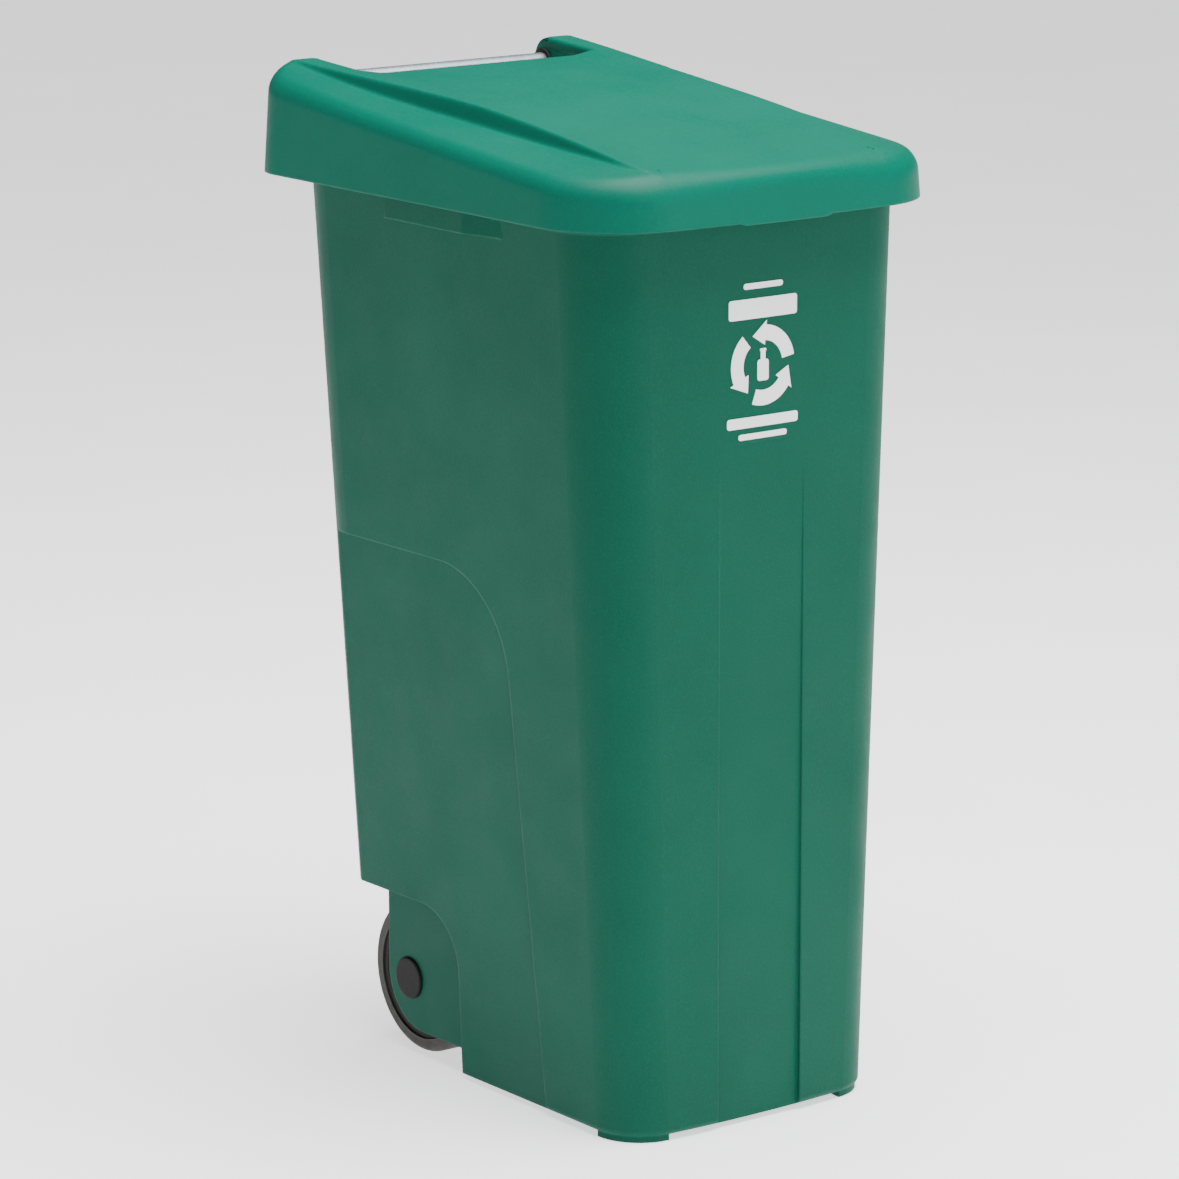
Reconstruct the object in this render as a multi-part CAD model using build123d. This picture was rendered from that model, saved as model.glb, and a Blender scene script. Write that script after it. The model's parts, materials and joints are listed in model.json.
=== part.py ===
from build123d import *

import math
import os

# Overall sizes, in millimetres.  X is across, Y runs from front (-) to rear (+), Z is up.
BIN_WIDTH = 386.0  # across the lid's skirt
BIN_LENGTH = 514.0  # lid's front to the rear end of its horns
BIN_HEIGHT = 880.0  # floor to the top of the horns
LID_HALF_WIDTH = BIN_WIDTH / 2
LID_FRONT = -BIN_LENGTH / 2
LID_REAR = BIN_LENGTH / 2

# Lid shell.
LID_DEPTH = 95.3  # horn tops down to the skirt's lower edge
LID_WALL = 3.0
SKIRT_BOTTOM = BIN_HEIGHT - LID_DEPTH
SKIRT_FLARE = 0.08  # outward spread of the skirt for each millimetre downward
SKIRT_REAR_FLARE = 0.03
LID_BOW = 9.6  # how far the front edge bows forward in the middle
LID_FRONT_CORNER = 84.0
LID_REAR_CORNER = 48.0
STRIP_TILT = 0.11  # rise of the side strips towards the middle, per millimetre
STRIP_FRONT_DROP = 64.5  # horn tops down to the strip's outer edge at the front end
STRIP_REAR_DROP = 13.5  # the same at the rear end
STRIP_EDGE_ROUND = 12.0
PANEL_WALL_LEAN = 0.35  # outward lean of the panel's side walls, per millimetre downward
PANEL_REFERENCE_DROP = 20.0  # horn tops down to where the strips' widths below are measured
CREST_ROUND = 2.5
PANEL_FRONT_ROUND = 6.0

# Strip width from the skirt to the panel's edge: (share of the length from the front, width).
STRIP_WIDTHS = [(-0.02, 89.0), (0.08, 71.0), (0.37, 66.0), (0.65, 55.5), (0.79, 44.0), (1.03, 40.0)]
# Crest of the panel: (share of the length from the front, drop below the horn tops).
CREST_DROPS = [(-0.02, 57.0), (0.014, 53.0), (0.045, 48.0), (0.10, 43.5), (0.22, 34.5), (0.37, 25.5),
               (0.53, 16.8), (0.68, 9.5)]
PANEL_REAR_DROP = 9.0
# Crest of the horns, given the same way as the panel's.
HORN_DROPS = [(0.66, 12.0), (0.75, 8.0), (0.84, 4.8), (0.90, 2.6)]
HORN_START_SLOPE = 0.06
HORN_SHOULDER = 12.0  # horn tops down to where the inner walls start to lean back
HORN_END_ROUND = 19.0

GRIP_HALF_WIDTH = 50.0  # the lip under the front edge, where a hand lifts the lid
GRIP_DEPTH = 3.5
GRIP_ROUND = 2.5

RIB_THICKNESS = 2.4
RIB_DEPTH = 14.0  # how far the stiffening ribs hang below the panel
CROSS_RIBS = [0.3, 0.56]  # shares of the length from the front
SEAT_RIB_INSET = 0.8  # tub's outer face to the outer face of the rib that rests on its rim

# Handle recess between the horns.
HORN_WIDTH = 67.2  # skirt to the recess's side wall
RECESS_HALF_WIDTH = LID_HALF_WIDTH - HORN_WIDTH
RECESS_LENGTH = 86.0  # panel's rear edge to the rear end of the horns
RECESS_FRONT = LID_REAR - RECESS_LENGTH
RECESS_FLOOR_DROP = 77.0
RECESS_FLOOR = BIN_HEIGHT - RECESS_FLOOR_DROP
RECESS_FLOOR_REAR_GAP = 31.0  # horn's rear end to the floor's rear edge
FLOOR_REAR = LID_REAR - RECESS_FLOOR_REAR_GAP

# Handle tube, which is the hinge pin.
TUBE_RADIUS = 9.0
TUBE_WALL = 1.5
HINGE_BACKSET = 14.0  # horn's rear end to the tube's axis
HINGE_DROP = 24.0  # horn tops down to the tube's axis
HINGE_Y = LID_REAR - HINGE_BACKSET
HINGE_Z = BIN_HEIGHT - HINGE_DROP
BUSH_RUNNING_GAP = 0.08
BUSH_WALL = 2.5
BUSH_LENGTH = 5.7
BUSH_FLANGE = 1.5
BUSH_FLANGE_SPREAD = 1.32  # bush's outer face to the flange's edge
BUSH_FLANGE_RADIUS = TUBE_RADIUS + BUSH_RUNNING_GAP + BUSH_WALL + BUSH_FLANGE_SPREAD

# Ears of the tub, inside the horns.
EAR_GAP = 1.5  # end of the hinge boss to the ear
EAR_WIDTH = 12.0
EAR_NOSE_WALL = 3.0  # tube's outer face to the ear's outer face
EAR_NOSE_RADIUS = TUBE_RADIUS + EAR_NOSE_WALL
EAR_INNER = RECESS_HALF_WIDTH + BUSH_LENGTH + EAR_GAP
EAR_OUTER = EAR_INNER + EAR_WIDTH
EAR_ROOT_DROP = 16.0  # rim down to the ear's root
EAR_ROOT_REAR = 38.0  # hinge axis forward to the root's rear corner
EAR_ROOT_LENGTH = 36.0
HORN_OPENING_SIDE = 17.0  # skirt's lower edge to the horn's rear opening
HORN_OPENING_TOP = 10.0  # opening's top edge above the hinge axis

# Plugs and screws at the tube's ends.  The plug's flange is let into the ear.
PLUG_FLANGE = 2.5
PLUG_FLANGE_SPREAD = 1.4  # tube's outer face to the flange's edge
PLUG_FLANGE_RADIUS = TUBE_RADIUS + PLUG_FLANGE_SPREAD
PLUG_LENGTH = 18.0
SCREW_RADIUS = 2.2
SCREW_LENGTH = 18.0
SCREW_HEAD_RADIUS = 5.0
SCREW_HEAD = 3.0
SCREW_SLOT = 1.2

# Tub.
RIM_OVERLAP = 7.3  # how far the rim stands up inside the skirt
RIM_TOP = SKIRT_BOTTOM + RIM_OVERLAP
TUB_SIDE_INSET = 21.6  # skirt to the tub's side, both at the skirt's lower edge
TUB_FRONT_INSET = 31.1
TUB_REAR_INSET = 37.9
TUB_WALL = 3.5
TUB_FLOOR = 5.0
TUB_BOW = 8.0
TUB_FRONT_CORNER = 55.0
TUB_REAR_CORNER = 55.0
SIDE_DRAFT = 0.0423
REAR_DRAFT = 0.0448
FRONT_DRAFT = -0.0051
CORNER_DRAFT = 0.012
RIM_LIP = 2.4
RIM_LIP_DEPTH = 12.0
FOOT_HEIGHT = 4.5
FOOT_RADIUS = 44.0
FOOT_INSET = 2.5
BASE_ROUND = 6.0
LID_SEAT_GAP = 0.3

# Wheels and their bay.
WHEEL_RADIUS = 70.0
WHEEL_CLEARANCE = 18.0  # wheel to the bay's front wall
BAY_HEADROOM = 10.0
BAY_ROUND = 52.0
BAY_LENGTH = 165.9  # bay's front wall to the tub's rear at floor level
CHEEK_INSET = 10.2  # tub's side at floor level to the cheek's outer face
CHEEK_WALL = 3.5
CHEEK_BEHIND_AXLE = 32.0
CHEEK_BOTTOM = 24.0
CHEEK_ROUND = 50.0
OVERHANG_ROUND = 14.0
OVERHANG_RELIEF = 0.05  # bay's upper edge stands this far behind the tub's rear face
TYRE_WIDTH = 34.0
TYRE_DEPTH = 12.0
TYRE_SHOULDER = 6.0
TYRE_SIDE_GAP = 7.5  # cheek's inner face to the tyre
RIM_INSET = 2.0
CORE_RIM = 6.0
CORE_WEB = 5.0
CORE_SPOKES = 6
SPOKE_INSET = 3.0  # the core's rim to the spokes, on each face
TREAD_GROOVE = 1.6
TREAD_GROOVE_DEPTH = 1.5
TREAD_PITCH = 6.8
HUB_RADIUS = 14.0
AXLE_RADIUS = 6.0
AXLE_RUNNING_GAP = 0.05
RIB_WALL = 3.5
RIB_GAP = 7.0  # tyre to the inner rib
WASHER_RADIUS = 11.0
WASHER_THICKNESS = 1.2
END_PLAY = 0.4
CAP_RADIUS = 19.0
CAP_THICKNESS = 2.6
CAP_DOME = 1.6
CAP_BOSS_WALL = 2.0
AXLE_TIP_SETBACK = 0.5  # cheek's outer face to the axle's end

# Shaped areas of the tub.
SIDE_PANEL_DEPTH = 3.5
SIDE_PANEL_TOP_DROP = 314.0  # skirt's lower edge to the panel's upper edge
SIDE_PANEL_ROUND = 95.0
SIDE_PANEL_REACH = 290.0  # rear of the tub at the skirt to the panel's front edge, at its top
SIDE_PANEL_LEAN = 0.085
FRONT_PANEL_HALF_WIDTH = 45.0
FRONT_PANEL_DEPTH = 4.5
FRONT_PANEL_TOP_DROP = 190.0
LUG_OUT = 9.0
LUG_DROP = 21.0  # skirt's lower edge to the lug's underside
LUG_HEIGHT = 19.0
LUG_REAR = 62.0
LUG_LENGTH = 112.0
LUG_TAPER = 48.0

# Front marking.
FILM = 0.25
MARK_DROP = 126.2  # skirt's lower edge to the ring's centre
MARK_REACH = 90.0  # ring's centre to the far edge of the marking
RING_OUTER = 34.0
RING_INNER = 21.0
ARROW_SWEEP = 74.0  # degrees of the ring that an arrow's shaft takes
HEAD_SWEEP = 30.0
HEAD_SPREAD = 4.0  # how far an arrow's head stands out on both sides of its shaft
ARROW_START = 10.0
# Bars above and below the ring: (height above its centre, width, height).
BARS = [(67.5, 42.0, 5.0), (48.5, 73.0, 17.0), (-47.0, 76.0, 9.0), (-59.0, 52.0, 5.0)]
BAR_ROUND = 2.4
# Bottle inside the ring, from its body up: (height above the centre, width, height, rounding).
BOTTLE = [(-4.0, 12.0, 18.0, 2.5), (8.0, 5.0, 10.0, 1.2), (13.0, 6.6, 2.4, 0.8)]

# Places worked out from the sizes above.
TUB_HALF_WIDTH = LID_HALF_WIDTH - TUB_SIDE_INSET
TUB_FRONT = LID_FRONT + TUB_FRONT_INSET
TUB_REAR = LID_REAR - TUB_REAR_INSET
BASE_HALF_WIDTH = TUB_HALF_WIDTH - SIDE_DRAFT * SKIRT_BOTTOM
BASE_REAR = TUB_REAR - REAR_DRAFT * SKIRT_BOTTOM
BAY_FRONT = BASE_REAR - BAY_LENGTH
BAY_TOP = 2 * WHEEL_RADIUS + BAY_HEADROOM
AXLE_Y = BAY_FRONT + WHEEL_CLEARANCE + WHEEL_RADIUS
AXLE_Z = WHEEL_RADIUS
CHEEK_OUTER = BASE_HALF_WIDTH - CHEEK_INSET
CHEEK_INNER = CHEEK_OUTER - CHEEK_WALL
TYRE_OUTER = CHEEK_INNER - TYRE_SIDE_GAP
TYRE_INNER = TYRE_OUTER - TYRE_WIDTH
RIB_OUTER = TYRE_INNER - RIB_GAP
RIB_INNER = RIB_OUTER - RIB_WALL
FAR = 2 * BIN_HEIGHT  # longer than anything here, for cutting tools
MARGIN = 20.0  # how far a building block runs on past the lid
CUT_FLOOR = SKIRT_BOTTOM - 30.0  # the lid's building blocks start here and are cut at the skirt's edge


def along(share):
    """Y of a place given as a share of the bin's length, from the front."""
    return LID_FRONT + share * BIN_LENGTH


def outline(half_width, front, rear, bow, front_round, rear_round, height):
    """Level rounded outline with a bowed front, as a face at the given height."""
    shoulder = front + bow
    edge = ThreePointArc((-half_width, shoulder), (0, front), (half_width, shoulder))
    back = Polyline((half_width, shoulder), (half_width, rear), (-half_width, rear), (-half_width, shoulder))
    face = make_face(edge + back)
    middle = (front + rear) / 2
    face = fillet(face.vertices().filter_by(lambda v: v.Y < middle), front_round)
    face = fillet(face.vertices().filter_by(lambda v: v.Y > rear - 0.01), rear_round)
    return Pos(0, 0, height) * face


def across(face, x_from, x_to):
    """Extrude a face drawn in (y, z) from one X to another."""
    plane = Plane(origin=(x_from, 0, 0), x_dir=(0, 1, 0), z_dir=(1, 0, 0))
    return extrude(plane * face, x_to - x_from)


def block(x_from, x_to, y_from, y_to, z_from, z_to):
    """Box between two corners."""
    size = Box(x_to - x_from, y_to - y_from, z_to - z_from, align=(Align.MIN, Align.MIN, Align.MIN))
    return Pos(x_from, y_from, z_from) * size


def rod(radius, x_from, x_to, y, z):
    """Round bar along X."""
    circle = Pos(y, z) * Circle(radius)
    return across(circle, x_from, x_to)


def both_sides(solid):
    """A solid and its mirror image on the other side of the bin."""
    return solid + mirror(solid, about=Plane.YZ)


# ---- lid ----


def skirt_solid(inset):
    """Flared block inside the lid's skirt, taller than the lid."""
    top = BIN_HEIGHT + MARGIN / 2
    sections = []
    for height in (SKIRT_BOTTOM, top):
        rise = height - SKIRT_BOTTOM
        side = inset + SKIRT_FLARE * rise
        rear = inset + SKIRT_REAR_FLARE * rise
        face = outline(LID_HALF_WIDTH - side, LID_FRONT + side, LID_REAR - rear, LID_BOW,
                       LID_FRONT_CORNER - side, LID_REAR_CORNER - rear, height)
        sections.append(face)
    return loft(sections, ruled=True)


def strip_height(y):
    """Height of a side strip's outer edge at a place along the bin."""
    share = (y - LID_FRONT) / BIN_LENGTH
    return BIN_HEIGHT - STRIP_FRONT_DROP + share * (STRIP_FRONT_DROP - STRIP_REAR_DROP)


def strip_solid(inset):
    """Sloping slab under the left and right strips, lowered by the wall thickness."""
    outer = LID_HALF_WIDTH + MARGIN
    inner = LID_HALF_WIDTH - STRIP_WIDTHS[0][1]
    sections = []
    for y in (LID_FRONT - MARGIN, LID_REAR + MARGIN):
        edge = strip_height(y) - inset
        high = edge + STRIP_TILT * (LID_HALF_WIDTH - inner)
        low = edge - STRIP_TILT * (outer - LID_HALF_WIDTH)
        corners = [(inner, high), (outer, low), (outer, CUT_FLOOR), (inner, CUT_FLOOR)]
        section = make_face(Polyline(*corners, close=True))
        sections.append(Plane(origin=(0, y, 0), x_dir=(1, 0, 0), z_dir=(0, -1, 0)) * section)
    return both_sides(loft(sections, ruled=True))


def panel_plan(inset, height):
    """Plan of the raised panel and horns at one height, its walls leaning outward downward."""
    reference = BIN_HEIGHT - PANEL_REFERENCE_DROP
    spread = PANEL_WALL_LEAN * (reference - height) - inset
    right = [(LID_HALF_WIDTH - width + spread, along(share)) for share, width in STRIP_WIDTHS]
    left = [(-x, y) for x, y in right]
    edges = Spline(*right) + Line(right[-1], left[-1]) + Spline(*reversed(left)) + Line(left[0], right[0])
    return Pos(0, 0, height) * make_face(edges)


def panel_walls(inset):
    """Block bounded by the panel's leaning side walls."""
    low = panel_plan(inset, CUT_FLOOR - MARGIN)
    high = panel_plan(inset, BIN_HEIGHT + MARGIN)
    return loft([low, high], ruled=True)


def crest_curve(inset):
    """Top line of the raised panel, from its front to where the horns begin."""
    points = [(along(share), BIN_HEIGHT - drop - inset) for share, drop in CREST_DROPS]
    points.append((RECESS_FRONT, BIN_HEIGHT - PANEL_REAR_DROP - inset))
    return points


def panel_solid(inset):
    """Raised panel between the strips, below its arched top."""
    points = crest_curve(inset)
    rear = (LID_REAR + MARGIN, BIN_HEIGHT - PANEL_REAR_DROP - inset)
    rest = [points[-1], rear, (rear[0], CUT_FLOOR), (points[0][0], CUT_FLOOR), points[0]]
    edges = Spline(*points) + Polyline(*rest)
    return across(make_face(edges), -LID_HALF_WIDTH, LID_HALF_WIDTH) & panel_walls(inset)


def horn_solid(inset):
    """Horns at the rear corners, rising to the lid's highest line and rounded at the rear."""
    end = LID_REAR - inset
    top = BIN_HEIGHT - inset
    rounding = HORN_END_ROUND - inset
    line = [(along(share), top - drop) for share, drop in HORN_DROPS]
    rise = Spline(*line, (end - rounding, top), tangents=[(1, HORN_START_SLOPE), (1, 0)])
    turn = CenterArc((end - rounding, top - rounding), rounding, 0, 90)
    rest = Polyline((end, top - rounding), (end, CUT_FLOOR), (line[0][0], CUT_FLOOR), line[0])
    slab = across(make_face(rise + turn + rest), -LID_HALF_WIDTH, LID_HALF_WIDTH)
    half = RECESS_HALF_WIDTH + inset
    shoulder = BIN_HEIGHT - HORN_SHOULDER - inset
    between = Polyline((-half, 0), (half, 0), (half, shoulder), (half + FAR, shoulder + FAR),
                       (-half - FAR, shoulder + FAR), (-half, shoulder), close=True)
    gap = extrude(Plane.XZ * make_face(between), FAR, both=True)
    return (slab & panel_walls(inset)) - gap


def edges_above(solid, low):
    """Edges of a solid that lie wholly above a height."""
    return solid.edges().filter_by(lambda edge: edge.bounding_box().min.Z > low)


def rounded_strips(inset):
    """Side strips with a soft edge down into the skirt."""
    strips = strip_solid(inset) & skirt_solid(inset)
    rims = edges_above(strips, SKIRT_BOTTOM + LID_DEPTH / 4)
    rims = rims.filter_by(lambda edge: is_strip_rim(edge) and edge.length > STRIP_EDGE_ROUND)
    return fillet(rims, STRIP_EDGE_ROUND - inset)


def is_strip_rim(edge):
    """True for an edge between a strip's top and the skirt, outboard of the strip's inner side."""
    size = edge.bounding_box().size
    outboard = abs(edge.center().X) > LID_HALF_WIDTH - STRIP_WIDTHS[1][1]
    upright = size.Z > LID_DEPTH / 3 and size.Y < STRIP_EDGE_ROUND / 2
    return outboard and size.X < STRIP_WIDTHS[0][1] and not upright


def rounded_panel():
    """Raised panel with its front edge and its two crests rounded."""
    panel = panel_solid(0) & skirt_solid(0)
    top = SKIRT_BOTTOM + LID_DEPTH / 3
    front = edges_above(panel, top).filter_by(lambda edge: edge.center().Y < along(0.02))
    panel = fillet(front, PANEL_FRONT_ROUND)
    crests = edges_above(panel, top).filter_by(is_lengthwise)
    crests = crests.filter_by(lambda edge: edge.length > BIN_LENGTH / 2)
    return fillet(crests, CREST_ROUND)


def is_lengthwise(edge):
    """True for an edge that runs from front to rear."""
    size = edge.bounding_box().size
    return size.Y > 2 * size.X


def rounded_horns():
    """Horns with their long upper edges rounded."""
    horns = horn_solid(0) & skirt_solid(0)
    top = BIN_HEIGHT - HORN_DROPS[0][1] - 4
    crests = edges_above(horns, top).filter_by(is_lengthwise)
    crests = crests.filter_by(lambda edge: edge.length > BIN_LENGTH / 4)
    crests = crests.filter_by(lambda edge: edge.bounding_box().max.Z > BIN_HEIGHT - 1)
    return fillet(crests, CREST_ROUND)


def lid_block():
    """The lid's outer form, with soft edges."""
    return rounded_strips(0) + rounded_panel() + rounded_horns()


def lid_core():
    """The space inside the lid's wall."""
    top = panel_solid(LID_WALL) + horn_solid(LID_WALL)
    return rounded_strips(LID_WALL) + (skirt_solid(LID_WALL) & top)


def recess_side():
    """Outer face of the recess's side walls."""
    return RECESS_HALF_WIDTH + LID_WALL


def arm_shape():
    """Side view of the walls beside the recess: an arm that ends round the hinge."""
    low = RECESS_FLOOR - LID_WALL
    nose = Pos(HINGE_Y, HINGE_Z) * Circle(HINGE_BACKSET)
    root = make_face(Polyline((RECESS_FRONT, low), (FLOOR_REAR, low), (FLOOR_REAR, low + 2),
                              (RECESS_FRONT, low + 2), close=True))
    arm = make_hull((nose + root).edges())
    upper = Pos(HINGE_Y - FAR / 2, HINGE_Z + FAR / 2) * Rectangle(FAR, FAR)
    rear = Pos(HINGE_Y, HINGE_Z + FAR / 2) * Rectangle(2 * HINGE_BACKSET, FAR)
    front = Pos(RECESS_FRONT - FAR / 2, low) * Rectangle(FAR, FAR)
    return arm + upper + rear + front


def recess_walls(block_form):
    """Floor, front wall and side walls of the handle recess."""
    side = recess_side()
    box = block(-side, side, RECESS_FRONT - LID_WALL, LID_REAR + 1, RECESS_FLOOR - LID_WALL, FAR)
    pocket = block(-RECESS_HALF_WIDTH, RECESS_HALF_WIDTH, RECESS_FRONT, FAR, RECESS_FLOOR, FAR)
    floor_end = block(-RECESS_HALF_WIDTH, RECESS_HALF_WIDTH, FLOOR_REAR, FAR, 0, FAR)
    walls = (block_form & box) - pocket - floor_end
    return walls & across(arm_shape(), -FAR, FAR)


def hinge_bosses():
    """Rings on the horns' inner walls, that hold the hinge bushes."""
    end = RECESS_HALF_WIDTH + BUSH_LENGTH
    return both_sides(rod(HINGE_BACKSET, RECESS_HALF_WIDTH, end, HINGE_Y, HINGE_Z))


def horn_openings():
    """Rear openings of the horns, where the tub's ears come through."""
    outer = LID_HALF_WIDTH - HORN_OPENING_SIDE
    top = HINGE_Z + HORN_OPENING_TOP
    opening = block(RECESS_HALF_WIDTH, outer, HINGE_Y, FAR, 0, top)
    return both_sides(opening)


def grip_lip():
    """Shallow lip under the skirt's front edge."""
    low = SKIRT_BOTTOM - GRIP_DEPTH
    edges = []
    for inset in (0, LID_WALL):
        edges.append(outline(LID_HALF_WIDTH - inset, LID_FRONT + inset, LID_REAR - inset, LID_BOW,
                             LID_FRONT_CORNER - inset, LID_REAR_CORNER - inset, low))
    ring = extrude(edges[0] - edges[1], GRIP_DEPTH + LID_WALL / 2)
    high = SKIRT_BOTTOM + LID_WALL
    half = GRIP_HALF_WIDTH
    front = make_face(Polyline((-half, low), (half, low), (half, high), (-half, high), close=True))
    corners = front.vertices().filter_by(lambda v: v.Y < SKIRT_BOTTOM)
    window = Plane.XZ * fillet(corners, GRIP_ROUND)
    return ring & extrude(window, FAR)


def seat_rib(core):
    """Rib under the lid, that rests on the tub's rim at the front and the sides."""
    outer = tub_outline(SEAT_RIB_INSET, RIM_TOP)
    inner = tub_outline(SEAT_RIB_INSET + RIB_THICKNESS, RIM_TOP)
    rib = extrude(Pos(0, 0, LID_SEAT_GAP) * (outer - inner), LID_DEPTH)
    behind = block(-FAR, FAR, RECESS_FRONT - LID_WALL, FAR, 0, FAR)
    return (rib - behind) & core


def stiffening_ribs(core):
    """Two long ribs and two cross ribs below the panel."""
    half = RIB_THICKNESS / 2
    span = TUB_HALF_WIDTH - TUB_WALL
    slab = core - Pos(0, 0, -RIB_DEPTH) * core
    grid = []
    for x in (-RECESS_HALF_WIDTH / 2, RECESS_HALF_WIDTH / 2):
        grid.append(block(x - half, x + half, along(STRIP_WIDTHS[1][0]), RECESS_FRONT, 0, FAR))
    for share in CROSS_RIBS:
        grid.append(block(-span, span, along(share) - half, along(share) + half, 0, FAR))
    ribs = grid[0] + grid[1:]
    return ribs & slab


def make_lid():
    """Moulded lid: a thin shell with panel, strips, horns, recess, hinge rings and ribs."""
    form = lid_block()
    core = lid_core()
    below = block(-FAR, FAR, -FAR, FAR, -FAR, SKIRT_BOTTOM)
    shell = form - (core + Pos(0, 0, -LID_WALL) * core) - below
    pocket = block(-RECESS_HALF_WIDTH, RECESS_HALF_WIDTH, RECESS_FRONT, FAR, 0, FAR)
    shell = shell - pocket - horn_openings()
    shell += grip_lip()
    shell += recess_walls(form)
    shell += hinge_bosses()
    shell += seat_rib(core)
    shell += stiffening_ribs(core)
    hole = rod(TUBE_RADIUS + BUSH_RUNNING_GAP + BUSH_WALL, -FAR, FAR, HINGE_Y, HINGE_Z)
    return shell - hole


# ---- tub ----


def tub_front(height):
    """Y of the tub's front at one height, at the middle of its bow."""
    return TUB_FRONT + FRONT_DRAFT * (SKIRT_BOTTOM - height)


def tub_outline(inset, height):
    """Outline of the tub at one height, moved inward by an inset."""
    drop = SKIRT_BOTTOM - height
    side = TUB_HALF_WIDTH - SIDE_DRAFT * drop - inset
    front = tub_front(height) + inset
    rear = TUB_REAR - REAR_DRAFT * drop - inset
    front_round = TUB_FRONT_CORNER - CORNER_DRAFT * drop - inset
    rear_round = TUB_REAR_CORNER - CORNER_DRAFT * drop - inset
    return outline(side, front, rear, TUB_BOW, front_round, rear_round, height)


def tub_block(inset, low, high):
    """Tapered block of the tub between two heights."""
    return loft([tub_outline(inset, low), tub_outline(inset, high)], ruled=True)


def tub_rear(height):
    """Y of the tub's rear at one height."""
    return TUB_REAR - REAR_DRAFT * (SKIRT_BOTTOM - height)


def bay_shape(offset):
    """Side view of the space below the tub's overhanging rear, grown by an offset."""
    front = BAY_FRONT - offset
    top = BAY_TOP + offset
    high = top + 2 * OVERHANG_ROUND
    rear = tub_rear(top) - offset
    rise = (tub_rear(high) - offset + OVERHANG_RELIEF, high)
    corners = [(front, -FAR), (FAR, -FAR), (FAR, high), rise, (rear, top), (front, top)]
    face = make_face(Polyline(*corners, close=True))
    face = fillet(nearest_corner(face, rear, top), OVERHANG_ROUND - offset)
    return fillet(nearest_corner(face, front, top), BAY_ROUND + offset)


def nearest_corner(face, x, y):
    """The face's corner that lies closest to a point."""
    return face.vertices().sort_by_distance((x, y, 0))[0]


def cheek_shape():
    """Side view of a wheel cheek: it fills the bay's front part, with a round lower rear corner."""
    rear = AXLE_Y + CHEEK_BEHIND_AXLE
    front = BAY_FRONT - TUB_WALL
    top = BAY_TOP + TUB_WALL
    corners = [(front, CHEEK_BOTTOM), (rear, CHEEK_BOTTOM), (rear, top), (front, top)]
    face = make_face(Polyline(*corners, close=True))
    corner = face.vertices().filter_by(lambda v: v.X > rear - 1 and v.Y < top - 1)
    return fillet(corner, CHEEK_ROUND)


def side_panel_cut(offset):
    """Shallow recessed area low on the right side, grown and moved inward by an offset."""
    top = SKIRT_BOTTOM - SIDE_PANEL_TOP_DROP + offset
    front = TUB_REAR - SIDE_PANEL_REACH - offset
    toe = front - SIDE_PANEL_LEAN * top
    face = make_face(Polyline((toe, -MARGIN), (FAR, -MARGIN), (FAR, top), (front, top), close=True))
    corner = face.vertices().filter_by(lambda v: v.X < FAR / 2 and v.Y > 0)
    area = across(fillet(corner, SIDE_PANEL_ROUND + offset), 0, FAR)
    depth = SIDE_PANEL_DEPTH + offset
    low = BASE_HALF_WIDTH - depth
    high = TUB_HALF_WIDTH - depth
    corners = [(low, 0), (high, SKIRT_BOTTOM), (FAR, SKIRT_BOTTOM), (FAR, -MARGIN), (low, -MARGIN)]
    slab = make_face(Polyline(*corners, close=True))
    return area & extrude(Plane.XZ * slab, FAR, both=True)


def front_panel_cut():
    """Recessed middle of the front, deepest at the floor and running out upward."""
    top = SKIRT_BOTTOM - FRONT_PANEL_TOP_DROP
    foot = tub_front(0) + FRONT_PANEL_DEPTH
    head = tub_front(top) + TUB_BOW * (FRONT_PANEL_HALF_WIDTH / TUB_HALF_WIDTH) ** 2
    face = make_face(Polyline((foot, -MARGIN), (head, top), (-FAR, top), (-FAR, -MARGIN), close=True))
    return across(face, -FRONT_PANEL_HALF_WIDTH, FRONT_PANEL_HALF_WIDTH)


def tub_form():
    """Outer form of the tub, with its shaped areas and the wheel bay."""
    form = tub_block(0, FOOT_HEIGHT, RIM_TOP)
    base = form.edges().filter_by(lambda edge: edge.bounding_box().max.Z < FOOT_HEIGHT + 1)
    form = fillet(base, BASE_ROUND)
    form -= across(bay_shape(0), -FAR, FAR)
    form -= both_sides(side_panel_cut(0))
    return form - front_panel_cut()


def tub_space():
    """Hollow inside the tub."""
    space = tub_block(TUB_WALL, FOOT_HEIGHT + TUB_FLOOR, RIM_TOP + 1)
    space -= across(bay_shape(TUB_WALL), -FAR, FAR)
    space -= both_sides(side_panel_cut(TUB_WALL))
    front = TUB_FRONT + TUB_BOW + TUB_WALL
    half = FRONT_PANEL_HALF_WIDTH + TUB_WALL
    return space - block(-half, half, -FAR, front, 0, SKIRT_BOTTOM - FRONT_PANEL_TOP_DROP)


def rim_lip():
    """Outward lip round the rim."""
    return tub_block(-RIM_LIP, RIM_TOP - RIM_LIP_DEPTH, RIM_TOP) - tub_block(TUB_WALL / 2, 0, RIM_TOP + 1)


def rear_stop():
    """Raised rear edge of the rim, that the recess's floor comes down on."""
    high = RECESS_FLOOR - LID_WALL - LID_SEAT_GAP
    half = TUB_HALF_WIDTH - TUB_REAR_CORNER
    return block(-half, half, TUB_REAR - TUB_WALL, TUB_REAR, RIM_TOP - 5, high)


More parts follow.
